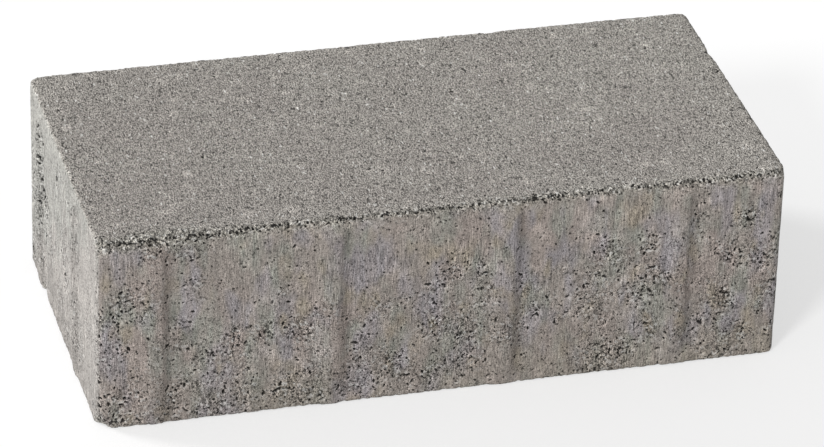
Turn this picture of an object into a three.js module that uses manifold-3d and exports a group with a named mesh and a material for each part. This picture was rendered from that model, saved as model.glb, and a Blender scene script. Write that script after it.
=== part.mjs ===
/**
 * Concrete paving stone: a rectangular block, cast in one piece and twice as long as it is wide.
 * Low upright ribs on its four sides hold the joint open between it and the stones laid around it.
 *
 * Millimetres. +X runs along the stone, +Y across it and +Z up. The origin is the middle of the bed
 * face, on which the stone lies.
 */
import * as THREE from 'three';
import { mergeVertices } from 'three/addons/utils/BufferGeometryUtils.js';
import Module from 'manifold-3d';

// The stone. Its length and width are measured over the ribs.
const LENGTH = 200;
const WIDTH = 100;
const HEIGHT = 60;
const EDGE_RADIUS = 2; // of the four upright edges
const EDGE_SEGMENTS = 5;
const EDGE_BREAK = 0.8; // height and depth of the worn slope along the bed and wearing faces' edges

// The ribs. Each has a trapezoid section, wide at its foot on the side of the stone.
const RIB_PROUD = 1.5;
const RIB_FOOT = 8.5;
const RIB_CREST = 2.5;
const RIB_SPACING = 50;
const FIRST_RIB = 16.5; // its centre line, from the left end of the side as seen from outside
const RIB_TOP_GAP = 2; // from the rib's foot up to the wearing face
const RIB_TOP_SLOPE = 3; // height over which the rib's upper end leans back to its foot
const RIB_BED_SLOPE = 10; // height above the bed below which the rib's crest is worn back
const RIB_BED_PROUD = 0.5; // how far the crest's lower end still stands out
const RIB_ROOT = 1; // depth to which a rib is let into the body, so that the two fuse

// The corners that have broken off. Each corner is given by its signs along X, Y and Z, and the depth
// of its break is measured along the diagonal from where the sharp corner would be.
const BROKEN_CORNERS = [
  { signs: [-1, -1, 1], depth: 2.2 },
  { signs: [-1, -1, -1], depth: 2.5 },
];

// The body without its ribs, and the height of a rib.
const BODY_LENGTH = LENGTH - 2 * RIB_PROUD;
const BODY_WIDTH = WIDTH - 2 * RIB_PROUD;
const RIB_HEIGHT = HEIGHT - RIB_TOP_GAP;

const QUARTER_TURN = Math.PI / 2;

const wasm = await Module();
wasm.setup();

/** The closed solid of a geometry, with its shared vertices merged. */
function solidOf(geometry) {
  const positions = new THREE.BufferGeometry();
  positions.setAttribute('position', geometry.getAttribute('position'));
  positions.setIndex(geometry.getIndex());
  const merged = mergeVertices(positions);
  const mesh = new wasm.Mesh({
    numProp: 3,
    vertProperties: new Float32Array(merged.getAttribute('position').array),
    triVerts: new Uint32Array(merged.getIndex().array),
  });
  return new wasm.Manifold(mesh);
}

/** The geometry of a solid. */
function geometryOf(solid) {
  const mesh = solid.getMesh();
  const geometry = new THREE.BufferGeometry();
  geometry.setAttribute('position', new THREE.BufferAttribute(mesh.vertProperties, 3));
  geometry.setIndex(new THREE.BufferAttribute(mesh.triVerts, 1));
  geometry.computeVertexNormals();
  return geometry;
}

/** The outline of the body seen from above: a rectangle whose corners are rounded. */
function bodyOutline() {
  const x = BODY_LENGTH / 2 - EDGE_RADIUS;
  const y = BODY_WIDTH / 2 - EDGE_RADIUS;
  const outline = new THREE.Shape();
  outline.absarc(x, y, EDGE_RADIUS, 0, QUARTER_TURN);
  outline.absarc(-x, y, EDGE_RADIUS, QUARTER_TURN, 2 * QUARTER_TURN);
  outline.absarc(-x, -y, EDGE_RADIUS, 2 * QUARTER_TURN, 3 * QUARTER_TURN);
  outline.absarc(x, -y, EDGE_RADIUS, 3 * QUARTER_TURN, 4 * QUARTER_TURN);
  return outline;
}

/** The body: its outline raised to the full height, with narrow slopes at the bed and wearing faces. */
function bodySolid() {
  const geometry = new THREE.ExtrudeGeometry(bodyOutline(), {
    depth: HEIGHT - 2 * EDGE_BREAK,
    curveSegments: EDGE_SEGMENTS,
    bevelSegments: 1,
    bevelThickness: EDGE_BREAK,
    bevelSize: EDGE_BREAK,
    bevelOffset: -EDGE_BREAK,
  });
  geometry.translate(0, 0, EDGE_BREAK);
  return solidOf(geometry);
}

/**
 * One rib in its own frame: X along the side of the stone, Y out of it, Z up, and the origin on the
 * side's lower edge at the rib's centre line. It is what its section, raised to the rib's height,
 * and its leaning profile, swept along the side, have in common.
 */
function ribSolid() {
  const section = new THREE.Shape([
    new THREE.Vector2(-RIB_FOOT / 2, -RIB_ROOT),
    new THREE.Vector2(RIB_FOOT / 2, -RIB_ROOT),
    new THREE.Vector2(RIB_FOOT / 2, 0),
    new THREE.Vector2(RIB_CREST / 2, RIB_PROUD),
    new THREE.Vector2(-RIB_CREST / 2, RIB_PROUD),
    new THREE.Vector2(-RIB_FOOT / 2, 0),
  ]);
  const upright = new THREE.ExtrudeGeometry(section, { depth: RIB_HEIGHT, bevelEnabled: false });

  // Drawn as Y against Z, extruded, and then turned so that the extrusion runs along X.
  const profile = new THREE.Shape([
    new THREE.Vector2(-RIB_ROOT, 0),
    new THREE.Vector2(RIB_BED_PROUD, RIB_BED_PROUD + RIB_ROOT),
    new THREE.Vector2(RIB_PROUD, RIB_BED_SLOPE),
    new THREE.Vector2(RIB_PROUD, RIB_HEIGHT - RIB_TOP_SLOPE),
    new THREE.Vector2(0, RIB_HEIGHT),
    new THREE.Vector2(-RIB_ROOT, RIB_HEIGHT),
  ]);
  const leaning = new THREE.ExtrudeGeometry(profile, { depth: RIB_FOOT, bevelEnabled: false });
  leaning.translate(0, 0, -RIB_FOOT / 2);
  leaning.rotateZ(QUARTER_TURN);
  leaning.rotateY(QUARTER_TURN);

  return solidOf(upright).intersect(solidOf(leaning));
}

/** What has broken off a corner: a block with one face across the corner, at the depth of the break. */
function brokenPiece({ signs, depth }) {
  const corner = new THREE.Vector3(BODY_LENGTH / 2, BODY_WIDTH / 2, HEIGHT / 2);
  corner.multiply(new THREE.Vector3(...signs));
  corner.z += HEIGHT / 2;
  const outward = new THREE.Vector3(...signs).normalize();
  const turn = new THREE.Quaternion().setFromUnitVectors(new THREE.Vector3(0, 0, 1), outward);
  const size = 4 * depth;
  const geometry = new THREE.BoxGeometry(size, size, size);
  geometry.translate(0, 0, size / 2 - depth);
  geometry.applyQuaternion(turn);
  geometry.translate(corner.x, corner.y, corner.z);
  return solidOf(geometry);
}

/** The body with its ribs, which stand in the same order on each side, from the left end on. */
function ribbedSolid() {
  const rib = ribSolid();
  let stone = bodySolid();
  for (let side = 0; side < 4; side += 1) {
    const alongStone = side % 2 === 0;
    const sideLength = alongStone ? BODY_LENGTH : BODY_WIDTH;
    const sideDistance = (alongStone ? BODY_WIDTH : BODY_LENGTH) / 2;
    const ribCount = Math.floor((sideLength - FIRST_RIB) / RIB_SPACING) + 1;
    for (let i = 0; i < ribCount; i += 1) {
      const left = sideLength / 2 - FIRST_RIB - i * RIB_SPACING;
      const placed = rib.translate([left, sideDistance, 0]).rotate([0, 0, 90 * side]);
      stone = stone.add(placed);
    }
  }
  return stone;
}

/** The ribbed stone without its broken corners. */
function stoneSolid() {
  return BROKEN_CORNERS.reduce((stone, broken) => stone.subtract(brokenPiece(broken)), ribbedSolid());
}

const concrete = new THREE.MeshStandardMaterial({
  color: 0x94908b,
  roughness: 0.93,
  metalness: 0,
  flatShading: true,
});

const pavingStone = new THREE.Mesh(geometryOf(stoneSolid()), concrete);
pavingStone.name = 'paving_stone';

const part = new THREE.Group();
part.name = 'concrete_paving_stone';
part.add(pavingStone);

export default part;
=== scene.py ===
"""The looks of a concrete paving stone: one closed mesh with a worn and porous surface, its material,
a pale floor, soft studio light and the camera.

Lengths are in millimetres until a mesh is made. The stone lies on its bed face with its middle over the
origin, +X along it, +Y across it and +Z up. A place on a side is given by its distance from the side's
left end, seen from outside, and its distance below the top. A step is a pair of values: something
begins at the first, and is full at the second.
"""
import math
from functools import partialmethod

import bpy
import numpy as np
from mathutils import Matrix, Vector, kdtree

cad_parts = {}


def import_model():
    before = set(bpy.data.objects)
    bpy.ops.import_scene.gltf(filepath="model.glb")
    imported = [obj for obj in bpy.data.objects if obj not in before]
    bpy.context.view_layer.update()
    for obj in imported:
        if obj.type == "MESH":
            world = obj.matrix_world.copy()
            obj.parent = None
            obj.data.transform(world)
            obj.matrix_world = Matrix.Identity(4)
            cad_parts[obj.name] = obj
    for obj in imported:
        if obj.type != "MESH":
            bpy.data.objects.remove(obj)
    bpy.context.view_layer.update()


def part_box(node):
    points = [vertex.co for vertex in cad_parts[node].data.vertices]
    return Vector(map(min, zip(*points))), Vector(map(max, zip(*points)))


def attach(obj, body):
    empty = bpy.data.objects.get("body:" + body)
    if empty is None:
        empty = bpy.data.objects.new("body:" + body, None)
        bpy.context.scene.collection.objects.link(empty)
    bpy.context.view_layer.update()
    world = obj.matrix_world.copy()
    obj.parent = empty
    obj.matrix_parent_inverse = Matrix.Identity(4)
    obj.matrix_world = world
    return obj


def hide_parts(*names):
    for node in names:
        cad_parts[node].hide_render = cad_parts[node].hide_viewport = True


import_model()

MM = 0.001
CAD_LOW, CAD_HIGH = (np.array(corner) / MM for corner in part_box("paving_stone"))

# The stone's body and ribs, which follow the CAD solid.
RIB_PROUD = 1.5
RIB_FOOT = 8.5
RIB_CREST = 2.5
RIB_SPACING = 50
FIRST_RIB = 16.5  # its centre line, from the left end of the side
RIB_TOP_GAP = 2
RIB_TOP_SLOPE = 3
RIB_BED_SLOPE = 10  # height above the bed below which the ribs are worn back
RIB_BED_END = 1  # height at which their wear ends
RIB_BED_PROUD = 0.5
LENGTH, WIDTH = (CAD_HIGH - CAD_LOW)[:2] - 2 * RIB_PROUD
HEIGHT = CAD_HIGH[2] - CAD_LOW[2]
HALF = np.array((LENGTH, WIDTH)) / 2

# How the mesh softens that shape.
RIB_SOFT = 0.4  # how far a rib's flanks run out
RIB_TOP_SOFT = 0.5  # the same for the slope at its upper end
RIB_FADE = (6, 1)  # the step by the distance from a side, over which its ribs show
UPRIGHT_ROUND = 2.8  # radius of the upright edges
FACE_ROUND = 0.8  # radius of the edges of the top and the bed

# The mesh.
LATTICE_STEP = 0.24
RELIEF_TURN = 6.0  # distance from an edge over which the relief's direction turns
TRIANGLES = 195_000

RNG = np.random.default_rng(41)


# ---- noise

# The noise's cells are turned, so that their rows don't show on the stone's faces.
NOISE_TILT = np.array(Matrix.Rotation(math.radians(38), 3, Vector((1, 0.4, 0.2))))
NOISE_TURN = np.array(Matrix.Rotation(math.radians(33), 3, "Z"))

# Large numbers that scramble the digits of a cell's place.
PLACE_FACTORS = np.array((73856093, 19349663, 83492791))
SEED_FACTOR = 2654435761
MIX_FACTOR = 1274126177
LAST_32_BITS = 0xFFFFFFFF
LAST_16_BITS = 0xFFFF


def cell_value(cells, seed):
    """A random number from 0 to 1 for each whole-numbered cell."""
    mixed = cells @ PLACE_FACTORS + seed * SEED_FACTOR
    mixed ^= mixed >> 13
    mixed = (mixed * MIX_FACTOR) & LAST_32_BITS
    mixed ^= mixed >> 16
    return (mixed & LAST_16_BITS) / LAST_16_BITS


def smooth(value, low=0.0, high=1.0):
    """0 below low, 1 above high, and a smooth step between them. High may be the smaller one."""
    part = np.clip((value - low) / (high - low), 0, 1)
    return part * part * (3 - 2 * part)


def bell(distance, width):
    """1 where the distance is 0, and less in a bell curve of that width."""
    return np.exp(-(distance / width) ** 2)


def noise(points, size, seed):
    """Smooth noise from 0 to 1 whose features are of that size."""
    grid = points @ NOISE_TILT @ NOISE_TURN / size
    corner = np.floor(grid).astype(np.int64)
    blend = smooth(grid - corner)
    value = np.zeros(len(points))
    for step in np.ndindex(2, 2, 2):
        share = np.abs(1 - np.array(step) - blend).prod(axis=1)
        value += share * cell_value(corner + step, seed)
    return value


def rough_noise(points, size, seed, octaves=3):
    """Noise with finer noise on it, from 0 to 1."""
    value = np.zeros(len(points))
    total = 0.0
    for octave in range(octaves):
        share = 0.5 ** octave
        value += share * noise(points, size * share, seed + octave)
        total += share
    return value / total


def varied(points, size, seed, least, more, octaves=1):
    """A number that varies over the points, from the least one to that and more together."""
    return least + more * rough_noise(points, size, seed, octaves)


# ---- base shape

def box_lattice():
    """The points of a lattice on the surface of the body's box, and its quads."""
    size = np.array((LENGTH, WIDTH, HEIGHT))
    count = np.round(size / LATTICE_STEP).astype(int)
    stride = np.array(((count[1] + 1) * (count[2] + 1), count[2] + 1, 1))
    quads = []
    for axis in range(3):
        across, along = (axis + 1) % 3, (axis + 2) % 3
        rows, columns = np.meshgrid(
            np.arange(count[across] + 1), np.arange(count[along] + 1), indexing="ij"
        )
        for end in (0, 1):
            key = rows * stride[across] + columns * stride[along] + end * count[axis] * stride[axis]
            quad = np.stack((key[:-1, :-1], key[1:, :-1], key[1:, 1:], key[:-1, 1:]), -1).reshape(-1, 4)
            quads.append(quad if end else quad[:, ::-1])
    keys, quads = np.unique(np.concatenate(quads), return_inverse=True)
    steps = np.stack((keys // stride[0], keys % stride[0] // stride[1], keys % stride[1]), axis=1)
    points = steps * size / count - np.array((LENGTH / 2, WIDTH / 2, 0))
    return points, quads.reshape(-1, 4)


def away_from_core(points, margin):
    """The vectors to the points from a box that lies that margin inside the body."""
    low = np.array((-HALF[0], -HALF[1], 0)) + margin
    high = np.array((HALF[0], HALF[1], HEIGHT)) - margin
    return points - np.clip(points, low, high)


def unit(vectors):
    return vectors / np.linalg.norm(vectors, axis=1, keepdims=True)


def square_to_round(first, second):
    """Two distances, up to the same limit each, shortened so that a square corner becomes round."""
    longest = np.maximum(first, second)
    factor = np.divide(longest, np.hypot(first, second), out=np.ones_like(first), where=longest > 0)
    return first * factor, second * factor


def rounded(lattice):
    """The points of the box lattice, moved in to round its edges, and their normals."""
    middle = np.array((0, 0, HEIGHT / 2))
    sign = np.sign(lattice - middle)
    half = np.array((*HALF, HEIGHT / 2))
    # First the corners of the outline seen from above, and then the edges of the top and the bed.
    reach = np.clip(np.abs(lattice - middle) - (half - UPRIGHT_ROUND), 0, None)
    round_x, round_y = square_to_round(reach[:, 0], reach[:, 1])
    plan = np.hypot(round_x, round_y)
    outward = np.stack((round_x, round_y, 0 * plan), axis=1) / np.maximum(plan, 1e-9)[:, None]
    beyond_side = np.clip(plan - (UPRIGHT_ROUND - FACE_ROUND), 0, None)
    beyond_face = np.clip(reach[:, 2] - (UPRIGHT_ROUND - FACE_ROUND), 0, None)
    round_side, round_face = square_to_round(beyond_side, beyond_face)
    moved = np.stack((round_x - reach[:, 0], round_y - reach[:, 1], round_face - beyond_face), axis=1)
    moved += outward * (round_side - beyond_side)[:, None]
    normal = outward * round_side[:, None]
    normal[:, 2] = round_face
    return lattice + sign * moved, unit(sign * normal)


def rib_height(along, drop, side_length):
    """How far the ribs stand out of a side, at a place on it."""
    number = np.round((along - FIRST_RIB) / RIB_SPACING)
    last = np.floor((side_length - FIRST_RIB) / RIB_SPACING)
    centre = FIRST_RIB + RIB_SPACING * np.clip(number, 0, last)
    section = smooth(np.abs(along - centre), RIB_FOOT / 2 + RIB_SOFT, RIB_CREST / 2 - RIB_SOFT)
    top = smooth(drop, RIB_TOP_GAP - RIB_TOP_SOFT, RIB_TOP_GAP + RIB_TOP_SLOPE + RIB_TOP_SOFT)
    proud = np.interp(HEIGHT - drop, (RIB_BED_END, RIB_BED_SLOPE), (RIB_BED_PROUD, RIB_PROUD))
    return proud * section * top


# The step in how squarely a point faces a side or the top, over which it belongs to it.
FACING = (0.3, 0.8)

# Shade is painted on the ribs' right flanks.
# A rib's right flank: how far to the left it is compared, and the step in how much higher it is there.
FLANK_SHIFT = 1.5
FLANK_FALL = (0.1, 0.6)


class Surface:
    """The stone's smooth surface, and where each of its points lies on the stone."""

    def __init__(self):
        lattice, self.quads = box_lattice()
        self.points, normal = rounded(lattice)
        self.inward = -unit(away_from_core(lattice, RELIEF_TURN))
        self.drop = HEIGHT - lattice[:, 2]
        self.rise = lattice[:, 2]
        margin = HALF - np.abs(lattice[:, :2])
        self.inset = margin.min(axis=1)
        self.end = margin[:, 0] < margin[:, 1]  # the nearest side is one of the two ends
        sign = np.where(self.end, np.sign(lattice[:, 0]), np.sign(lattice[:, 1]))
        # Along the side, from its left end as seen from outside.
        along = np.where(self.end, lattice[:, 1] * sign, -lattice[:, 0] * sign)
        self.side_length = np.where(self.end, WIDTH, LENGTH)
        self.along = along + self.side_length / 2
        self.outward = np.zeros_like(lattice)
        self.outward[self.end, 0] = sign[self.end]
        self.outward[~self.end, 1] = sign[~self.end]
        self.front = self.outward[:, 1] < 0  # the nearest side is the front
        self.on_side = smooth(np.abs(normal[:, :2]).max(axis=1), *FACING)
        self.on_top = smooth(normal[:, 2], *FACING)
        self.rib = rib_height(self.along, self.drop, self.side_length)
        self.points += self.outward * (self.rib * smooth(self.inset, *RIB_FADE))[:, None]
        self.tree = kdtree.KDTree(len(self.points))
        for index, point in enumerate(self.points.tolist()):
            self.tree.insert(point, index)
        self.tree.balance()

    def flank_painted_shade(self):
        """From 0 to 1, where the surface is on the right flank of a rib, which gets painted shade."""
        left = rib_height(self.along - FLANK_SHIFT, self.drop, self.side_length)
        return smooth(left - self.rib, *FLANK_FALL) * self.on_side

    def near(self, centre, reach):
        """The indices of the points within that reach of the centre."""
        found = self.tree.find_range(centre, reach)
        return np.fromiter((index for _, index, _ in found), dtype=int, count=len(found))

    def around(self, centre, reach):
        """The indices of those points, and their distances from the centre."""
        near = self.near(centre, reach)
        return near, np.linalg.norm(self.points[near] - centre, axis=1)


# ---- places on the faces

def on_face(face, along, down):
    """The point at a place on a face. On the top and the bed, it is from their front left corner."""
    x, y = HALF
    return {
        "front": (along - x, -y, HEIGHT - down),
        "right": (x, along - y, HEIGHT - down),
        "back": (x - along, y, HEIGHT - down),
        "left": (-x, y - along, HEIGHT - down),
        "top": (along - x, down - y, HEIGHT),
        "bed": (along - x, down - y, 0),
    }[face]


SIDES = ("front", "right", "back", "left")
FACE_SIZE = {side: (length, HEIGHT) for side, length in zip(SIDES, (LENGTH, WIDTH) * 2)}
FACE_SIZE["top"] = FACE_SIZE["bed"] = (LENGTH, WIDTH)

# Porous spots on the front: the place and the radius.
FRONT_SPOTS = (
    (2.5, 25, 3), (3, 35, 4.5), (8, 20, 3), (9, 51, 4), (6, 56, 6), (16, 4, 3),
    (14.5, 24, 3.5), (16.5, 17, 1.5), (20, 53, 4), (25, 3, 5), (28, 15.5, 2), (30, 41, 2.5),
    (33, 56, 6), (38.5, 35, 3.5), (41, 52.5, 1.5), (47, 34, 3), (52, 22, 1.5), (57.5, 35, 4.5),
    (54, 53, 4), (60, 55, 4), (70, 55, 2), (74, 55, 2), (76, 40, 1.5), (84, 49, 5),
    (97, 37, 5), (99.5, 21.5, 3), (103, 50, 3), (105, 40, 5), (109, 20, 1.5), (110, 24, 2),
    (117.5, 42, 4.5), (118, 29, 1.5), (124, 36, 2.5), (144, 55, 5), (145.5, 30, 1.5),
    (146, 19, 3), (149, 23, 3), (150, 53, 3), (155, 34, 2), (157, 21, 3), (160, 28, 3),
    (160, 47, 3), (163, 31, 3), (167, 33, 2.5), (167, 41, 2), (168, 49, 2.5), (171, 12, 1.5),
    (173, 46, 2), (178, 46, 1.5), (179, 38, 3), (181, 25, 3), (183, 42, 2), (186, 14, 3),
    (190, 27, 4), (192, 43, 2), (195, 38, 4), (197, 20, 2.5),
)

# Porous spots on the left end, near the stone's back, given in the same way.
LEFT_SPOTS = (
    (18, 10, 2.5), (18.5, 16, 2.5), (18.5, 22, 2.5), (18, 28, 3), (18, 33, 3), (24, 27, 3), (25, 32, 3),
    (24, 38, 2.5), (5, 30, 3), (4, 36, 3), (4, 50, 3), (4, 56, 3), (45, 7, 2), (57, 10, 2),
)

# Porous spots round the front's lower left corner: the face, the place and the radius.
CORNER_SPOTS = [("front", 2, 56.5, 2.8), ("front", 6.5, 57.5, 2.5), ("left", 98, 57.5, 2)]

# Large holes on the left end: the place and the size, as a multiple of a pit's.
LEFT_HOLES = (
    (18, 6.5, 1.6), (18.9, 9.1, 1.5), (17.7, 13, 1.6), (19.5, 12.6, 1.4), (19.2, 15.9, 1.6),
    (20, 16.8, 1.3), (5.8, 27.4, 2.2), (7.2, 27.9, 2.2), (19, 21.5, 1.6), (17.3, 25.9, 1.6),
    (18.5, 26, 1.6), (4.7, 34, 2.2), (15.9, 31.2, 1.7), (19.1, 30.7, 1.6), (17.8, 33, 1.6),
    (20.9, 25.8, 1.7), (23.3, 26.1, 2), (26.7, 25.2, 1.9), (23.2, 28.8, 2), (28.1, 27.7, 2),
    (25, 31.8, 2), (24, 38.3, 1.9), (44.9, 6.8, 1.2), (47.1, 7.2, 1.2), (57.6, 10.6, 1.2),
    (4.4, 54.3, 2.2), (5.9, 55.2, 2),
)
LEFT_HOLE_TURN = 0.3  # the spread of their directions about level, in radians

# Pale patches on the front: the place and the radius.
PALE_PATCHES = (
    (0.3, 0.3, 1.6), (42, 26.5, 2), (49, 23.5, 3), (48, 40, 3), (52.5, 48.5, 2), (63, 36, 2.5),
    (63.5, 42, 3), (76, 45, 2), (112, 33, 2), (141, 10, 3), (152, 41, 2), (166, 15, 3),
)

# Porous spots at random places: how many, the margin at the face's ends, their range as a share of its
# height, the power that moves a side's spots towards the bed, and their radii.
OTHER_SPOTS = {"right": 20, "back": 45, "left": 6, "bed": 30}
SPOT_MARGIN = 2
SPOT_DOWN = (0.05, 0.98)
SPOT_SINK = 0.6
SPOT_RADIUS = (1.5, 4.5)


def random_spots(face, count):
    """Porous spots anywhere on a face, but on a side few near the top."""
    spots = []
    length, height = FACE_SIZE[face]
    for _ in range(count):
        along = RNG.uniform(SPOT_MARGIN, length - SPOT_MARGIN)
        down = RNG.uniform(*SPOT_DOWN)
        if face in SIDES:
            down = down ** SPOT_SINK
        spots.append((along, height * down, RNG.uniform(*SPOT_RADIUS)))
    return spots


def porous_spots():
    """The porous spots, each as its face, its place there and its radius."""
    lists = [("front", FRONT_SPOTS), ("left", LEFT_SPOTS)]
    lists += [(face, random_spots(face, count)) for face, count in OTHER_SPOTS.items()]
    return [(face, *spot) for face, spots in lists for spot in spots]


# ---- relief

# Open skin between the porous spots: the size of its parts, their steps in the noise and below the top,
# and how porous it is.
LOOSE_SIZE = 9.0
LOOSE_NOISE = (0.42, 0.68)
LOOSE_DROP = (3, 26)
LOOSE_POROSITY = 0.6

# A porous spot: its width and its reach, as multiples of its radius, and how its porosity varies.
SPOT_WIDTH = 1.2
SPOT_REACH = 2.2
SPOT_WAVES = {"size": 3.5, "seed": 11, "least": 0.4, "more": 1.2, "octaves": 3}


def looseness(points):
    """From 0 to 1, how open the skin of the sides is between the porous spots: more towards the bed."""
    field = smooth(rough_noise(points, LOOSE_SIZE, seed=15), *LOOSE_NOISE)
    return field * smooth(HEIGHT - points[:, 2], *LOOSE_DROP)


def porosity(surface, spots):
    """From 0 where the skin is closed to 1 in the middle of a porous spot."""
    porous = LOOSE_POROSITY * looseness(surface.points) * surface.on_side
    for face, along, down, radius in spots:
        near, distance = surface.around(on_face(face, along, down), SPOT_REACH * radius)
        porous[near] = np.maximum(porous[near], bell(distance, SPOT_WIDTH * radius))
    return np.clip(porous * varied(surface.points, **SPOT_WAVES), 0, 1)


# A pale patch: its reach and how its width varies, as multiples of its radius.
PALE_REACH = 3
PALE_WAVES = {"size": 3.0, "seed": 53, "least": 0.6, "more": 0.8, "octaves": 3}


def pale_share(surface):
    """How much of the skin is pale with lime."""
    pale = np.zeros(len(surface.points))
    width = varied(surface.points, **PALE_WAVES)
    for along, down, radius in PALE_PATCHES:
        near, distance = surface.around(on_face("front", along, down), PALE_REACH * radius)
        pale[near] = np.maximum(pale[near], bell(distance / radius, width[near]))
    return pale


# Brown stains: the strength and width of the line under the top, and the height, size and step in the
# noise of the patches at the bed.
STAIN_LINE = 0.7
STAIN_DROP = 2.2
STAIN_RISE = 10
STAIN_SIZE = 22.0
STAIN_NOISE = (0.25, 0.6)


def stained_share(surface):
    """How much of the long sides' skin is stained."""
    patches = smooth(noise(surface.points, STAIN_SIZE, seed=51), *STAIN_NOISE)
    share = STAIN_LINE * bell(surface.drop, STAIN_DROP) + patches * bell(surface.rise, STAIN_RISE)
    return np.clip(share, 0, 1) * surface.on_side * ~surface.end


# How each top edge has crumbled: how deep, and how far from the edge. The same for the bed's edges.
ARRIS_CRUMBLE = {"front": (0.55, 1.2), "right": (0.25, 0.7), "back": (0.25, 0.7), "left": (0.15, 0.7)}
BED_CRUMBLE = (0.25, 0.9)
SIDE_NORMALS = {"front": (0, -1), "right": (1, 0), "back": (0, 1), "left": (-1, 0)}

# The missing crumbs: their two sizes, their step in the noise, and how much is missing, at least and
# how much more at most.
CRUMB_SIZES = (1.3, 0.75)
CRUMB_NOISE = (0.3, 0.8)
CRUMB_LEVELS = (0.1, 1.5)

# How far it reaches varies along an edge.
REACH_WAVES = {"size": 7.0, "seed": 23, "least": 0.7, "more": 0.6}

# The stretch of the front's top edge that has crumbled most: its two ends, how much deeper and wider.
CRUMBLED_MOST = ((3, 9), (44, 36))
CRUMBLED_DEEPER = 0.2
CRUMBLED_WIDER = 1.2


def side_values(surface, by_side):
    """For each point, the pair of values of the side nearest to it."""
    values = np.zeros((2, len(surface.points)))
    for side, pair in by_side.items():
        here = (surface.outward[:, :2] == SIDE_NORMALS[side]).all(axis=1)
        values[:, here] = np.array(pair)[:, None]
    return values


def crumble(surface):
    """How deep the top and bottom edges have crumbled."""
    points = surface.points
    waves = sum(noise(points, size, seed) for size, seed in zip(CRUMB_SIZES, (21, 22))) / 2
    least, more = CRUMB_LEVELS
    crumbs = least + more * smooth(waves, *CRUMB_NOISE)
    begins, ends = CRUMBLED_MOST
    most = surface.front * smooth(surface.along, *begins) * smooth(surface.along, *ends)
    depth, reach = side_values(surface, ARRIS_CRUMBLE)
    depth = depth * (1 + CRUMBLED_DEEPER * most)
    reach = reach * (1 + CRUMBLED_WIDER * most) * varied(points, **REACH_WAVES)
    top = depth * bell(surface.inset + surface.drop, reach) * crumbs
    bed_depth, bed_reach = BED_CRUMBLE
    bed = bed_depth * bell(surface.inset + surface.rise, bed_reach) * crumbs
    return top + bed


# Broken corners and edges: the face and the place there, the radius and the depth.
CHIPS = (
    ("front", 2, 0, 5.0, 1.3), ("front", 8, 1, 4.0, 0.8), ("front", 0, HEIGHT, 5.0, 1.8),
    ("left", 0, 0, 4.0, 0.3), ("left", 22, HEIGHT, 4.0, 0.8), ("right", 72, 0, 3.5, 0.5),
    ("right", 0, 0, 4.0, 1.2), ("back", 60, 0, 3.0, 0.4), ("back", 130, HEIGHT, 5.0, 1.2),
)

# A broken place, as multiples of its radius: its reach, the step of its slope and the height of its
# waves. The size of these, and how its depth varies with its lumps.
CHIP_REACH = 1.6
CHIP_SLOPE = (0.1, 1.0)
CHIP_UNEVEN = 0.5
CHIP_WAVES = 3.0
LUMPS = {"size": 1.4, "seed": 33, "least": 0.75, "more": 0.5}


def chipped(surface):
    """How deep the broken places are, without their lumps."""
    depth = np.zeros(len(surface.points))
    for face, along, down, radius, deepest in CHIPS:
        near, distance = surface.around(on_face(face, along, down), CHIP_REACH * radius)
        waves = rough_noise(surface.points[near], CHIP_WAVES, seed=31) - 0.5
        distance = distance / radius + CHIP_UNEVEN * waves
        depth[near] = np.maximum(depth[near], deepest * (1 - smooth(distance, *CHIP_SLOPE)))
    return depth


# The faces' wide and narrow waves, and the roughness of porous skin.
WIDE_WAVES = {"size": 24.0, "seed": 1, "least": 0, "more": 0.10}
NARROW_WAVES = {"size": 5.0, "seed": 2, "least": 0, "more": 0.09}
POROUS_SIZE = 1.7
POROUS_DEPTH = 0.2


def broad_relief(surface, porous):
    """The unevenness of the faces, without pits."""
    points = surface.points
    waves = varied(points, **WIDE_WAVES) + varied(points, **NARROW_WAVES)
    return waves + POROUS_DEPTH * porous * noise(points, POROUS_SIZE, seed=5)


# ---- pits

# Loose pits on each face, for each square millimetre, where the skin is at its most open.
LOOSE_PITS = {"front": 0.16, "right": 0.10, "back": 0.13, "left": 0.05, "top": 0.01, "bed": 0.06}
CLOSED_SHARE = 0.07  # of those, where the skin is closed

# The pits of a porous spot, which lie along the open edges of grains of stone.
GRAIN_COUNT = (0.48, 1.4)  # that many times that power of the spot's radius
GRAIN_SPREAD = 0.65  # about the spot's middle, as a multiple of its radius
GRAIN_RADIUS = (0.9, 2.6)
ARC_PITS = (2, 6)  # numbers of pits along one grain's edge
ARC_STEP = (1.1, 1.8)  # from one pit to the next
ARC_SPREAD = 0.12  # of the pits about that edge
ARC_TURN = 0.4  # the spread of their directions about the edge's, in radians
LEFT_PIT_SIZE = 1.5  # of those on the left end, against the others

# One pit.
PIT_WIDTH = 0.245  # half the usual width of a pit
PIT_SPREAD = 0.25
PIT_WIDTHS = (0.17, 0.50)
PIT_LENGTHS = (1.0, 2.3)  # as a multiple of its width
PIT_DEPTHS = (1.5, 2.6)
PIT_OUTLINE = {"size": 0.8, "seed": 41, "least": 0.8, "more": 0.4}  # how its radius varies
PIT_REACH = 1.3  # how far it is followed, as a multiple of its length
PIT_RIM = 0.3  # width of the painted highlight round it
RIM_STEP = (0.95, 1.15)  # as multiples of the outline's radius
RIM_DEPTH = 0.03  # depth at which it ends in a pit


def pit(face, along, down, size=1.0, angle=None):
    """A pit: its face, its place there, half its width and length, and its direction in the face."""
    width = size * np.clip(PIT_WIDTH * math.exp(PIT_SPREAD * RNG.standard_normal()), *PIT_WIDTHS)
    length = width * RNG.uniform(*PIT_LENGTHS)
    if angle is None:
        angle = RNG.uniform(0, math.pi)
    return face, along, down, width, length, angle


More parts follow.
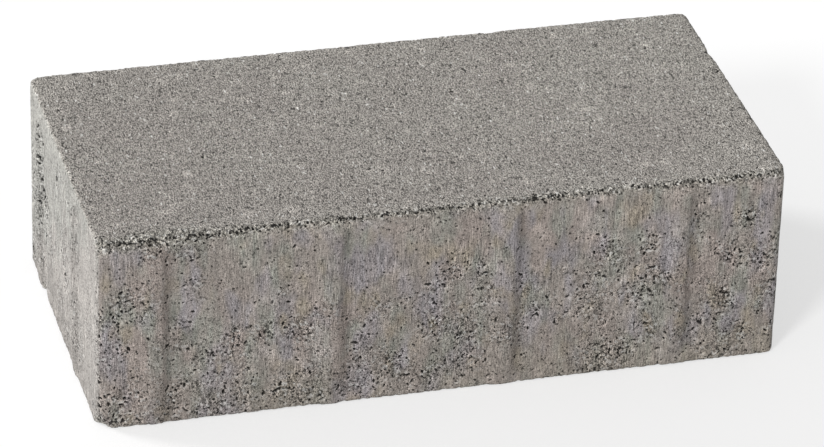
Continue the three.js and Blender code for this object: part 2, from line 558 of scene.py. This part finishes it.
def loose_pits():
    """Pits that lie alone."""
    pits = []
    for face, density in LOOSE_PITS.items():
        length, height = FACE_SIZE[face]
        places = RNG.uniform((0, 0), (length, height), (int(density * length * height), 2))
        points = np.array([on_face(face, *place) for place in places])
        share = looseness(points) if face in SIDES else np.ones(len(points))
        kept = RNG.random(len(points)) < CLOSED_SHARE + (1 - CLOSED_SHARE) * share
        pits += [pit(face, *place) for place in places[kept]]
    return pits


def arc_pits(spots):
    """Pits in the porous spots, in broken arcs round grains of stone."""
    pits = []
    factor, power = GRAIN_COUNT
    for face, along, down, radius in spots:
        size = LEFT_PIT_SIZE if face == "left" else 1.0
        for _ in range(1 + int(factor * radius ** power)):
            grain = RNG.uniform(*GRAIN_RADIUS)
            centre = np.array((along, down)) + RNG.normal(0, GRAIN_SPREAD * radius, 2)
            turn = RNG.uniform(0, 2 * math.pi)
            for _ in range(RNG.integers(*ARC_PITS, endpoint=True)):
                turn += RNG.uniform(*ARC_STEP) / grain
                place = centre + grain * np.array((math.cos(turn), math.sin(turn)))
                place += RNG.normal(0, ARC_SPREAD, 2)
                pits.append(pit(face, *place, size, turn + math.pi / 2 + RNG.normal(0, ARC_TURN)))
    return pits


# Pits along the edges: how many for each millimetre, and how far from the edge they reach.
TOP_EDGE_PITS = {"front": (2.6, 0.85), "right": (1.0, 0.5), "back": (1.0, 0.5), "left": (0.5, 0.5)}
TOP_EDGE_SIZE = 0.75
FRONT_TOP_PITS = (1.2, 0.9)  # those on the top, beside the front
BED_EDGE_PITS = (0.8, 2.5)
BED_EDGE_SIZE = 0.85
BED_EDGE_MARGIN = 0.9  # a strip that has none
UPRIGHT_EDGE_PITS = (0.3, 2.0)

# The stretch of the front's top edge that has broken away most, and its pits.
WORN_ARRIS = (7, 43)
WORN_ARRIS_PITS = (1.5, 2.2)
WORN_FRONT_SIZE = 0.8
WORN_FRONT_REACH = 0.6  # on the front, as a share of the reach on the top
WORN_TOP_SIZE = 0.7


def top_edge_pits(face, rate, reach):
    """Pits along a side's upper edge, or the top's front edge."""
    length = FACE_SIZE[face][0]
    return [
        pit(face, RNG.uniform(0, length), abs(RNG.normal(0, reach)), TOP_EDGE_SIZE)
        for _ in range(int(rate * length))
    ]


def side_edge_pits(face):
    """Pits along the edges of one side."""
    pits = top_edge_pits(face, *TOP_EDGE_PITS[face])
    length, height = FACE_SIZE[face]
    rate, reach = BED_EDGE_PITS
    for _ in range(int(rate * length)):
        down = height - BED_EDGE_MARGIN - abs(RNG.normal(0, reach))
        pits.append(pit(face, RNG.uniform(0, length), down, BED_EDGE_SIZE))
    rate, reach = UPRIGHT_EDGE_PITS
    for edge in (0.0, length):
        for _ in range(int(rate * height)):
            along = abs(edge - abs(RNG.normal(0, reach)))
            pits.append(pit(face, along, RNG.uniform(0, height)))
    return pits


def edge_pits():
    """Pits along the edges of all sides, and beside the front's top edge."""
    pits = [one for face in SIDES for one in side_edge_pits(face)]
    pits += top_edge_pits("top", *FRONT_TOP_PITS)
    rate, reach = WORN_ARRIS_PITS
    for _ in range(int(rate * (WORN_ARRIS[1] - WORN_ARRIS[0]))):
        place = (RNG.uniform(*WORN_ARRIS), abs(RNG.normal(0, WORN_FRONT_REACH * reach)))
        pits.append(pit("front", *place, WORN_FRONT_SIZE))
        place = (RNG.uniform(*WORN_ARRIS), abs(RNG.normal(0, reach)))
        pits.append(pit("top", *place, WORN_TOP_SIZE))
    return pits


def all_pits(spots):
    """Every pit. The order in which they are drawn decides what each one is like."""
    holes = [pit("left", *hole, RNG.normal(0, LEFT_HOLE_TURN)) for hole in LEFT_HOLES]
    return loose_pits() + arc_pits(spots) + edge_pits() + holes + arc_pits(CORNER_SPOTS)


def face_axes(face):
    """The directions along a face and down it, as on_face takes them."""
    along = {"front": (1, 0, 0), "right": (0, 1, 0), "back": (-1, 0, 0), "left": (0, -1, 0)}
    if face in along:
        return np.array(along[face]), np.array((0, 0, -1))
    return np.array((1, 0, 0)), np.array((0, 1, 0))


def pitted(surface, pits):
    """How deep the pits are, and the painted highlight round their rims. Each pit is a small bowl,
    longer one way than the other, and its outline has waves.
    """
    depth = np.zeros(len(surface.points))
    light = np.zeros(len(surface.points))
    outline = varied(surface.points, **PIT_OUTLINE)
    begins, full = RIM_STEP
    for face, along, down, width, length, angle in pits:
        first_axis, second_axis = face_axes(face)
        centre = np.array(on_face(face, along, down))
        near = surface.near(centre, PIT_REACH * length + PIT_RIM)
        away = surface.points[near] - centre
        first = away @ (math.cos(angle) * first_axis + math.sin(angle) * second_axis) / length
        second = away @ (math.cos(angle) * second_axis - math.sin(angle) * first_axis) / width
        distance = np.hypot(first, second) / outline[near]
        bowl = np.sqrt(np.clip(1 - distance ** 2, 0, 1))
        deepest = width * RNG.uniform(*PIT_DEPTHS)
        depth[near] = np.maximum(depth[near], deepest * bowl)
        # The painted highlight round the pit.
        rim_highlight = smooth(distance, begins, full) * smooth(distance, full + PIT_RIM / width, full)
        light[near] = np.maximum(light[near], rim_highlight)
    return depth, light * smooth(depth, RIM_DEPTH, 0)


# ---- mesh

# The depths at which a crumbled edge and a broken place count as fully broken, how broken the front's
# top edge and the other edges are in any case, and how far from the edge.
CRUMBLED_DEPTH = 0.5
BROKEN_DEPTH = 0.8
ARRIS_BROKEN = (0.4, 0.15)
ARRIS_WIDTH = 3.0

# The wear on the top beside the front: how strong it is, its two ends, its width and how sharp it is.
WORN_BROKEN = 0.8
WORN_TOP = ((8, 11), (31, 27))
WORN_WIDTH = 4.5
WORN_POWER = 4

PIT_SHADE_DEPTH = 0.35  # depth from which a pit's painted shade is full


def broken_share(surface, edges, chips):
    """How much of the skin is broken away."""
    arris = np.where(surface.front, *ARRIS_BROKEN) * bell(surface.inset + surface.drop, ARRIS_WIDTH)
    worn = surface.on_top * surface.front * np.exp(-(surface.inset / WORN_WIDTH) ** WORN_POWER)
    begins, ends = WORN_TOP
    worn *= smooth(surface.along, *begins) * smooth(surface.along, *ends)
    return np.clip(edges / CRUMBLED_DEPTH + chips / BROKEN_DEPTH + arris + WORN_BROKEN * worn, 0, 1)


def closed_mesh(name, points, quads, attributes):
    """A mesh of quads, with a named number at each point for each attribute."""
    mesh = bpy.data.meshes.new(name)
    mesh.vertices.add(len(points))
    mesh.vertices.foreach_set("co", (points * MM).ravel().astype(np.float32))
    mesh.loops.add(quads.size)
    mesh.loops.foreach_set("vertex_index", quads.ravel().astype(np.int32))
    mesh.polygons.add(len(quads))
    mesh.polygons.foreach_set("loop_start", np.arange(0, quads.size, 4, dtype=np.int32))
    mesh.update(calc_edges=True)
    for label, values in attributes.items():
        layer = mesh.attributes.new(label, "FLOAT", "POINT")
        layer.data.foreach_set("value", values.astype(np.float32))
    return mesh


def new_object(name, data):
    """A new object in the scene."""
    obj = bpy.data.objects.new(name, data)
    bpy.context.scene.collection.objects.link(obj)
    return obj


def thin(obj, triangles):
    """Collapse an object's mesh to about that many triangles, where it is flattest first."""
    modifier = obj.modifiers.new("thin", "DECIMATE")
    modifier.ratio = triangles / (2 * len(obj.data.polygons))
    modifier.use_collapse_triangulate = True
    graph = bpy.context.evaluated_depsgraph_get()
    fine = obj.data
    obj.data = bpy.data.meshes.new_from_object(obj.evaluated_get(graph))
    obj.modifiers.clear()
    bpy.data.meshes.remove(fine)


def stone_object():
    """The stone, with what its material needs to know of each point."""
    surface = Surface()
    spots = porous_spots()
    porous = porosity(surface, spots + CORNER_SPOTS)
    edges = crumble(surface)
    chips = chipped(surface)
    pits, rims = pitted(surface, all_pits(spots))
    lumpy = chips * varied(surface.points, **LUMPS)
    relief = broad_relief(surface, porous) + edges + lumpy + pits
    points = surface.points + surface.inward * relief[:, None]
    attributes = {
        # Painted shade in the pits.
        "pit_painted_shade": np.clip(pits / PIT_SHADE_DEPTH, 0, 1),
        # Painted highlight round the pits' rims.
        "rim_highlight": rims,
        "porous": porous,
        "broken": broken_share(surface, edges, chips),
        "top": surface.on_top,
        "end": surface.end * surface.on_side,
        # Painted shade on the ribs' right flanks.
        "flank_painted_shade": surface.flank_painted_shade(),
        "stained": stained_share(surface),
        "pale": pale_share(surface),
    }
    mesh = closed_mesh("stone_surface", points, surface.quads, attributes)
    stone = new_object("stone_surface", mesh)
    thin(stone, TRIANGLES)
    stone.data.shade_smooth()
    return stone


# ---- nodes

NOISE_RANGE = (0.3, 0.7)  # nearly all of a noise texture lies between these
CRACK_EDGE = (1.3, 0.7)  # a crack's step, as multiples of half its width
HOLE_EDGE = (1.25, 0.75)  # a hole's step, as multiples of its radius
CRACK_WAVES = 0.9  # size of the waves that break the cracks up
CRACK_END = (-0.02, 0.02)  # the step in those waves' height over the gap
SAND_LEVEL = (0.1, 0.7, 1.3, -0.7)  # by the distance from a grain's middle, as a share of its size


class Nodes:
    """Short ways to add a material's nodes. Sizes are in millimetres, and values are numbers, colours
    or other nodes' outputs.
    """

    def __init__(self, owner):
        owner.use_nodes = True
        self.tree = owner.node_tree
        self.tree.nodes.clear()

    def give(self, socket, value):
        if isinstance(value, bpy.types.NodeSocket):
            self.tree.links.new(value, socket)
        else:
            socket.default_value = value

    def add(self, kind, inputs=None, **settings):
        node = self.tree.nodes.new("ShaderNode" + kind)
        for name, value in settings.items():
            setattr(node, name, value)
        for name, value in (inputs or {}).items():
            self.give(node.inputs[name], value)
        return node

    def math(self, operation, first, second):
        return self.add("Math", {0: first, 1: second}, operation=operation).outputs[0]

    plus = partialmethod(math, "ADD")
    times = partialmethod(math, "MULTIPLY")
    larger = partialmethod(math, "MAXIMUM")

    def span(self, value, low, high, to_low=0.0, to_high=1.0):
        """A value brought from one range to another, and kept inside it."""
        inputs = {"Value": value, "From Min": low, "From Max": high, "To Min": to_low, "To Max": to_high}
        return self.add("MapRange", inputs).outputs["Result"]

    def between(self, share, at_none, at_all):
        """The first number where a share is 0, and the second where it is 1."""
        return self.span(share, 0, 1, at_none, at_all)

    def mix(self, factor, first, second):
        """The first colour where the factor is 0, and the second where it is 1."""
        node = self.add("Mix", {"Factor": factor}, data_type="RGBA")
        for name, value in (("A", first), ("B", second)):
            self.give(next(s for s in node.inputs if s.name == name and s.type == "RGBA"), value)
        return next(s for s in node.outputs if s.type == "RGBA")

    def vectors(self, operation, first, second):
        return self.add("VectorMath", {0: first, 1: second}, operation=operation).outputs[0]

    def scaled(self, colour, factor):
        """A colour or vector times a number."""
        inputs = {0: colour, "Scale": factor}
        return self.add("VectorMath", inputs, operation="SCALE").outputs[0]

    def attribute(self, name):
        return self.add("Attribute", attribute_name=name).outputs["Fac"]

    def noise(self, vector, size, detail=2.0):
        """Noise whose features are of that size."""
        inputs = {"Vector": vector, "Scale": 1 / size, "Detail": detail}
        return self.add("TexNoise", inputs).outputs["Fac"]

    def cells(self, vector, size, **settings):
        """A pattern of cells of that size."""
        inputs = {"Vector": vector, "Scale": 1 / size}
        return self.add("TexVoronoi", inputs, **settings).outputs

    def chance(self, cells, channel):
        """A random number from 0 to 1 for each cell, another one in each channel."""
        return self.add("SeparateColor", {"Color": cells["Color"]}).outputs[channel]

    def grains(self, vector, size):
        """A random number from 0 to 1 for each grain of that size."""
        return self.chance(self.cells(vector, size), "Red")

    def sand(self, vector, size):
        """High in the middle of each grain of that size, and low between the grains."""
        return self.span(self.cells(vector, size)["Distance"], *SAND_LEVEL)

    def stretched(self, vector, direction, stretch):
        """A vector whose features are stretched along a direction."""
        turn = Vector(direction).to_track_quat("Z", "Y").to_euler()
        inputs = {"Vector": vector, "Rotation": turn, "Scale": (1, 1, stretch)}
        return self.add("Mapping", inputs, vector_type="TEXTURE").outputs[0]

    def bent(self, vector, size, amount):
        """A vector that wanders by up to that amount, in waves of that size."""
        wander = self.add("TexNoise", {"Vector": vector, "Scale": 1 / size}).outputs["Color"]
        return self.vectors("ADD", vector, self.scaled(wander, amount))

    def holes(self, vector, cell, radius, share):
        """1 inside small holes, and 0 outside. That share of the cells have a hole each."""
        cells = self.cells(vector, cell)
        chance = self.chance(cells, "Green")
        inside = self.span(cells["Distance"], *(edge * radius / cell for edge in HOLE_EDGE))
        return self.times(inside, self.math("LESS_THAN", chance, share))

    def cracks(self, vector, cell, half_width, gap):
        """1 in cracks between the cells, and 0 outside. A higher gap breaks them up more."""
        distance = self.cells(vector, cell, feature="DISTANCE_TO_EDGE")["Distance"]
        inside = self.span(distance, *(edge * half_width / cell for edge in CRACK_EDGE))
        over = self.math("SUBTRACT", self.noise(vector, CRACK_WAVES, 1), gap)
        return self.times(inside, self.span(over, *CRACK_END))

    def in_millimetres(self, stretch=(1, 1, 1)):
        """The place on the object, with its features stretched along the axes."""
        place = self.add("TexCoord").outputs["Object"]
        return self.vectors("MULTIPLY", place, [1 / MM / factor for factor in stretch])

    def upright(self, size, stretch):
        """Noise whose features are of that width, and stretched upright."""
        return self.noise(self.in_millimetres((1, 1, stretch)), size)

    def shown(self, unseen, seen):
        """One shader where it only gives light, and another where it is seen."""
        path = self.add("LightPath").outputs
        ray = self.larger(path["Is Camera Ray"], path["Is Glossy Ray"])
        ray = self.larger(ray, path["Is Transmission Ray"])
        return self.add("MixShader", {0: ray, 1: unseen.outputs[0], 2: seen.outputs[0]}).outputs[0]


# ---- colours

# Colours of the skin on the long sides and the ends, of the sand on the top and of broken places.
SIDE_COLOUR = (0.350, 0.315, 0.285, 1)
SIDE_PINK = (0.371, 0.320, 0.291, 1)
SIDE_GREEN = (0.317, 0.315, 0.279, 1)
SIDE_VIOLET = (0.338, 0.314, 0.323, 1)
SIDE_OCHRE = (0.363, 0.318, 0.258, 1)
STAIN_COLOUR = (0.332, 0.304, 0.260, 1)
PALE_COLOUR = (0.479, 0.437, 0.412, 1)
END_GREEN = (0.338, 0.335, 0.313, 1)
END_PINK = (0.373, 0.353, 0.332, 1)
TOP_PINK = (0.367, 0.341, 0.315, 1)
TOP_GREEN = (0.393, 0.373, 0.341, 1)
WHITE_GRAIN = (0.84, 0.83, 0.80, 1)
BROKEN_COLOUR = (0.420, 0.402, 0.358, 1)

# Where four numbers stand together, the first two are values and the last two what these become.

# Patches of the other colours on the sides: the colour, the size and how much of the skin they cover.
PATCHES = ((SIDE_PINK, 12, 0.50), (SIDE_GREEN, 8, 0.36), (SIDE_VIOLET, 7, 0.33), (SIDE_OCHRE, 6, 0.14))
PATCH_STRETCH = (1, 1, 2.0)
PATCH_DETAIL = 1.5
PATCH_EDGE = (0.60, 0.74)  # their step in the noise
PATCH_COVER = 0.3  # how much lower that is if they cover everything
PATCH_STEP = 37  # from one colour's noise to the next
PATCH_START = (11, 5)
ON_ENDS = 0.2  # strength of the patches and stripes there

# The ends turn from green, above and at the back, to pink, and the top from pink, at the front left, to
# green: by how much for each millimetre along, across and up, the size, detail and height of the waves,
# and the step.
END_CHANGE = ((0, -0.6, -1.0), 9, 2, (0, 1, -20, 20), (-42, -26))
TOP_CHANGE = ((0.005, 0.01, 0), 26, 3, (*NOISE_RANGE, -0.8, 0.8), (-0.5, 1.0))
END_SHADE = (0, 26, 0.7, 1.0)  # brightness by the height above the bed
END_SHARE = 0.9  # how much of the ends' colour is their own

STAIN_SHARE = 0.8

# Pink stripes: their width and stretch, and their strength by the noise.
STRIPES = (2.2, 12)
STRIPE_STRENGTH = (0.4, 0.6, 0.0, 0.35)

# Light and dark parts of the skin: their width and stretch, and how much lighter or darker they are.
SHADES = ((6, 1.7, 0.12), (0.9, 22, 0.08))

# Fine drag lines: their width and stretch, how dark and light they are, the size of the parts where they
# are strong and weak, and that strength.
LINES = (0.27, 11)
LINE_SHADE = (*NOISE_RANGE, -0.5, 0.5)
LINE_PARTS = 14
LINE_STRENGTH = (0.35, 0.6, 0.35, 1.0)


def change(nodes, place, slope, size, detail, height, limits):
    """A share that grows from 0 to 1 over the stone, in waves."""
    grown = nodes.add("VectorMath", {0: place, 1: slope}, operation="DOT_PRODUCT").outputs["Value"]
    waves = nodes.span(nodes.noise(place, size, detail), *height)
    return nodes.span(nodes.plus(grown, waves), *limits)


def side_colour(nodes, place, end):
    """The skin on the sides: patches of several greys, with fine drag lines."""
    upright = nodes.in_millimetres(PATCH_STRETCH)
    share = nodes.between(end, 1.0, ON_ENDS)
    colour = SIDE_COLOUR
    for number, (patch, size, cover) in enumerate(PATCHES):
        moved = nodes.vectors("ADD", upright, (PATCH_STEP * number, *PATCH_START))
        edge = (value - PATCH_COVER * cover for value in PATCH_EDGE)
        inside = nodes.span(nodes.noise(moved, size, PATCH_DETAIL), *edge)
        colour = nodes.mix(nodes.times(inside, share), colour, patch)

    end_colour = nodes.mix(change(nodes, place, *END_CHANGE), END_GREEN, END_PINK)
    height = nodes.add("SeparateXYZ", {"Vector": place}).outputs["Z"]
    end_colour = nodes.scaled(end_colour, nodes.span(height, *END_SHADE))
    colour = nodes.mix(nodes.times(end, END_SHARE), colour, end_colour)

    colour = nodes.mix(nodes.times(nodes.attribute("stained"), STAIN_SHARE), colour, STAIN_COLOUR)
    colour = nodes.mix(nodes.attribute("pale"), colour, PALE_COLOUR)
    stripes = nodes.span(nodes.upright(*STRIPES), *STRIPE_STRENGTH)
    colour = nodes.mix(nodes.times(stripes, share), colour, SIDE_PINK)
    for size, stretch, strength in SHADES:
        shade = nodes.span(nodes.upright(size, stretch), *NOISE_RANGE, 1 - strength, 1 + strength)
        colour = nodes.scaled(colour, shade)
    lines = nodes.span(nodes.upright(*LINES), *LINE_SHADE)
    strength = nodes.span(nodes.noise(place, LINE_PARTS), *LINE_STRENGTH)
    return nodes.scaled(colour, nodes.plus(nodes.times(lines, strength), 1.0))


# Fine grains and sand grains: their sizes, their stretch, and how dark and light they are.
FINE_GRAIN = 0.22
SAND_GRAIN = 0.38
GRAIN_STRETCH = (1, 2.35, 1.4)
FINE_SPECKLE = (0.25, 0.75, -0.42, 0.42)
SAND_SPECKLE = 0.24

# How strong they are: on closed and on bare skin, on the top, in the parts of the sides, which are of
# that size, and on the ends. The darkest that they may be.
SPECKLE_BARE = (1.05, 2.0)
SPECKLE_TOP = 1.98
SPECKLE_PARTS = 10
SPECKLE_STRENGTH = (0.35, 0.6, 0.75, 1.1)
SPECKLE_ENDS = 0.85
SPECKLE_DARKEST = 0.1


def speckled(nodes, colour, place, speckle, bare, top, end):
    """A colour with the speckle of its sand grains."""
    strength = nodes.larger(nodes.between(bare, *SPECKLE_BARE), nodes.times(top, SPECKLE_TOP))
    part = nodes.span(nodes.noise(place, SPECKLE_PARTS, 1), *SPECKLE_STRENGTH)
    strength = nodes.times(strength, nodes.between(top, part, 1.0))
    strength = nodes.times(strength, nodes.between(end, 1.0, SPECKLE_ENDS))
    shade = nodes.plus(nodes.times(speckle, strength), 1.0)
    return nodes.scaled(colour, nodes.larger(shade, SPECKLE_DARKEST))


# The crumbs of a broken edge: their size, how dark and light they are, and which are how white.
CRUMB_GRAIN = 0.8
CRUMB_SHADE = (-0.5, 0.6)
CRUMB_WHITE = (0.8, 0.9, 0.0, 0.55)

# Single grains on the top: their size, and which are how white. Those whose number is below a limit,
# which varies over parts of that size, are dark.
SINGLE_GRAIN = 0.44
SINGLE_WHITE = (0.973, 1.0, 0.0, 0.85)
DARK_PARTS = 4.5
DARK_LIMIT = (0.54, 0.66, 0.015, 0.13)
DARK_SHADE = 0.33


def grained(nodes, colour, place, drawn, broken, bare, top):
    """A colour with the crumbs of broken places, and the white and dark grains of the top."""
    crumb = nodes.grains(place, CRUMB_GRAIN)
    uneven = nodes.times(nodes.between(crumb, *CRUMB_SHADE), broken)
    colour = nodes.scaled(colour, nodes.plus(uneven, 1.0))
    single = nodes.grains(drawn, SINGLE_GRAIN)
    crumb_white = nodes.times(bare, nodes.span(crumb, *CRUMB_WHITE))
    single_white = nodes.times(top, nodes.span(single, *SINGLE_WHITE))
    colour = nodes.mix(nodes.larger(crumb_white, single_white), colour, WHITE_GRAIN)
    limit = nodes.span(nodes.noise(place, DARK_PARTS), *DARK_LIMIT)
    dark = nodes.times(top, nodes.math("LESS_THAN", single, limit))
    return nodes.scaled(colour, nodes.between(dark, 1.0, DARK_SHADE))


BARE_FULL = 0.8  # how bare the skin is where it counts as open
BEND = (0.6, 0.7)  # size and height of the waves in the holes and cracks

# Small holes in the skin: the direction in which they are long, by how much, the size of their cells,
# their radius, their share where the skin is closed and open, and the painted shade in them.
HOLES = (
    ((-0.60, 0.50, 0.62), 1.35, 1.05, 0.28, (0.04, 0.40), 0.15),
    ((0.20, -0.30, 0.93), 1.3, 0.80, 0.22, (0.25, 0.35), 0.55),
)

# Cracks round the grains of stone, with painted shade in them.
CRACK_GRAIN = 1.7  # size of the grains
CRACK_WIDTH = 0.15  # half the width of a crack
CRACK_GAPS = (0.75, 0.57)  # how broken up they are where the skin is closed and open
CRACK_PAINTED_SHADE = 0.5


def hollowed(nodes, colour, place, bare):
    """A colour with painted shade in small holes and cracks, and where these are."""
    bent = nodes.bent(place, *BEND)
    gap = nodes.span(bare, 0, BARE_FULL, *CRACK_GAPS)
    hollow = nodes.cracks(bent, CRACK_GRAIN, CRACK_WIDTH, gap)
    # Painted shade in the cracks.
    colour = nodes.scaled(colour, nodes.between(hollow, 1.0, CRACK_PAINTED_SHADE))
    for direction, stretch, cell, radius, shares, dark in HOLES:
        vector = nodes.stretched(bent, direction, stretch)
        hole = nodes.holes(vector, cell, radius, nodes.span(bare, 0, BARE_FULL, *shares))
        # Painted shade in the holes.
        colour = nodes.scaled(colour, nodes.between(hole, 1.0, dark))
        hollow = nodes.larger(hollow, hole)
    return colour, hollow


# The painted highlight on the pits' rims, the painted shade in the pits, and the painted shade on the
# ribs' right flanks on the long sides and ends.
RIM_HIGHLIGHT = 1.4
PIT_PAINTED_SHADE = (0.1, 0.8, 1.0, 0.10)
FLANK_SHADE_STRENGTH = (0.14, 0.06)


def shaded(nodes, colour, end):
    """A colour with painted highlights on pit rims, and painted shade in pits and on ribs' right flanks.
    """
    # Painted highlight round the pits' rims.
    colour = nodes.scaled(colour, nodes.between(nodes.attribute("rim_highlight"), 1.0, RIM_HIGHLIGHT))
    # Painted shade in the pits.
    colour = nodes.scaled(colour, nodes.span(nodes.attribute("pit_painted_shade"), *PIT_PAINTED_SHADE))
    # Painted shade on the ribs' right flanks.
    flank_painted_shade = nodes.times(nodes.attribute("flank_painted_shade"), nodes.between(end, *FLANK_SHADE_STRENGTH))
    return nodes.scaled(colour, nodes.math("SUBTRACT", 1.0, flank_painted_shade))


# The bump: how high the sand stands against the fine grains, how rough closed skin, bare skin and the
# top are, how deep the holes and cracks are, and the millimetres that all this is a multiple of.
BUMP_SAND = 0.15
BUMP_BARE = (0.3, 1.2)
BUMP_TOP = 1.7
BUMP_HOLLOW = 1.2
BUMP_HEIGHT = 0.3


def grain_bump(nodes, grain, sand, hollow, bare, top):
    """The normal of a skin with grains, holes and cracks."""
    height = nodes.plus(grain, nodes.times(sand, BUMP_SAND))
    rough = nodes.larger(nodes.between(bare, *BUMP_BARE), nodes.times(top, BUMP_TOP))
    height = nodes.math("SUBTRACT", nodes.times(height, rough), nodes.times(hollow, BUMP_HOLLOW))
    bump = nodes.add("Bump", {"Height": height, "Distance": BUMP_HEIGHT * MM})
    return bump.outputs["Normal"]


TOP_STEP = (0.3, 0.7)  # in how much a point belongs to the top, for its colour
BROKEN_SHARE = 0.7  # of the broken places' colour
ROUGHNESS = 0.95
SPECULAR = 0.25


def concrete(name):
    """The stone's material."""
    material = bpy.data.materials.new(name)
    nodes = Nodes(material)
    place = nodes.in_millimetres()
    drawn = nodes.in_millimetres(GRAIN_STRETCH)
    top, end, broken = (nodes.attribute(label) for label in ("top", "end", "broken"))
    bare = nodes.larger(nodes.attribute("porous"), broken)
    grain = nodes.noise(drawn, FINE_GRAIN, 1)
    sand = nodes.sand(drawn, SAND_GRAIN)
    speckle = nodes.plus(nodes.span(grain, *FINE_SPECKLE), nodes.times(sand, SAND_SPECKLE))

    side = side_colour(nodes, place, end)
    sandy = nodes.mix(change(nodes, place, *TOP_CHANGE), TOP_PINK, TOP_GREEN)
    colour = nodes.mix(nodes.span(top, *TOP_STEP), side, sandy)
    colour = nodes.mix(nodes.times(broken, BROKEN_SHARE), colour, BROKEN_COLOUR)
    colour = speckled(nodes, colour, place, speckle, bare, top, end)
    colour = grained(nodes, colour, place, drawn, broken, bare, top)
    colour, hollow = hollowed(nodes, colour, place, bare)
    colour = shaded(nodes, colour, end)
    inputs = {
        "Base Color": colour,
        "Normal": grain_bump(nodes, grain, sand, hollow, bare, top),
        "Roughness": ROUGHNESS,
        "Specular IOR Level": SPECULAR,
    }
    shader = nodes.add("BsdfPrincipled", inputs)
    nodes.add("OutputMaterial", {"Surface": shader.outputs["BSDF"]})
    return material


# ---- floor, light and camera

FLOOR_SIZE = 12.0  # metres

# The floor's and the surroundings' brightness, as light on the stone and as the camera sees them.
FLOOR_GREY = 0.6
FLOOR_SEEN_GREY = 0.5
FLOOR_SEEN_GLOW = 0.55
STUDIO_LIGHT = 0.45
STUDIO_SEEN = 1.0


def grey(value):
    return (value, value, value, 1)


def floor():
    mesh = bpy.data.meshes.new("floor")
    half = FLOOR_SIZE / 2
    corners = [(x * half, y * half, 0) for x, y in ((-1, -1), (1, -1), (1, 1), (-1, 1))]
    mesh.from_pydata(corners, [], [(0, 1, 2, 3)])
    material = bpy.data.materials.new("floor")
    nodes = Nodes(material)
    plain = nodes.add("BsdfDiffuse", {"Color": grey(FLOOR_GREY)})
    shown = nodes.add("BsdfDiffuse", {"Color": grey(FLOOR_SEEN_GREY)})
    glow = nodes.add("Emission", {"Color": grey(1), "Strength": FLOOR_SEEN_GLOW})
    bright = nodes.add("AddShader", {0: shown.outputs[0], 1: glow.outputs[0]})
    nodes.add("OutputMaterial", {"Surface": nodes.shown(plain, bright)})
    mesh.materials.append(material)
    new_object("floor", mesh)


def world():
    surroundings = bpy.data.worlds.new("studio")
    bpy.context.scene.world = surroundings
    nodes = Nodes(surroundings)
    soft = nodes.add("Background", {"Color": grey(1), "Strength": STUDIO_LIGHT})
    white = nodes.add("Background", {"Color": grey(1), "Strength": STUDIO_SEEN})
    nodes.add("OutputWorld", {"Surface": nodes.shown(soft, white)})


def lamp(name, towards, strength, width):
    """A distant lamp: the direction to it, its light on a face that it faces, its width in degrees."""
    data = bpy.data.lights.new(name, "SUN")
    data.energy = strength * math.pi
    data.angle = math.radians(width)
    obj = new_object(name, data)
    obj.rotation_euler = Vector(towards).to_track_quat("Z", "Y").to_euler()


# The photo's camera: its place, and its turns to the right, downwards and about its axis in degrees.
CAMERA_PLACE = (-333.3, -1205.4, 757.9)
CAMERA_YAW = 15.61
CAMERA_PITCH = 30.30
CAMERA_ROLL = 1.86
CAMERA_LENS = 221.0  # for a sensor 36 mm wide
CAMERA_RANGE = (0.01, 100)  # metres


def camera():
    data = bpy.data.cameras.new("camera")
    data.lens = CAMERA_LENS
    data.clip_start, data.clip_end = CAMERA_RANGE
    obj = new_object("camera", data)
    turn = Matrix.Rotation(math.radians(-CAMERA_YAW), 4, "Z")
    turn @= Matrix.Rotation(math.radians(90 - CAMERA_PITCH), 4, "X")
    turn @= Matrix.Rotation(math.radians(CAMERA_ROLL), 4, "Z")
    obj.matrix_world = Matrix.Translation(Vector(CAMERA_PLACE) * MM) @ turn
    bpy.context.scene.camera = obj


# ---- the scene

bpy.context.scene.view_settings.view_transform = "Standard"
camera()
stone = stone_object()
stone.data.materials.clear()
stone.data.materials.append(concrete("concrete_surface"))
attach(stone, "root")
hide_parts("paving_stone")
floor()
world()
lamp("key", towards=(-0.61, -0.61, 0.51), strength=0.47, width=12)
lamp("side", towards=(-0.776, 0.546, 0.316), strength=0.79, width=20)
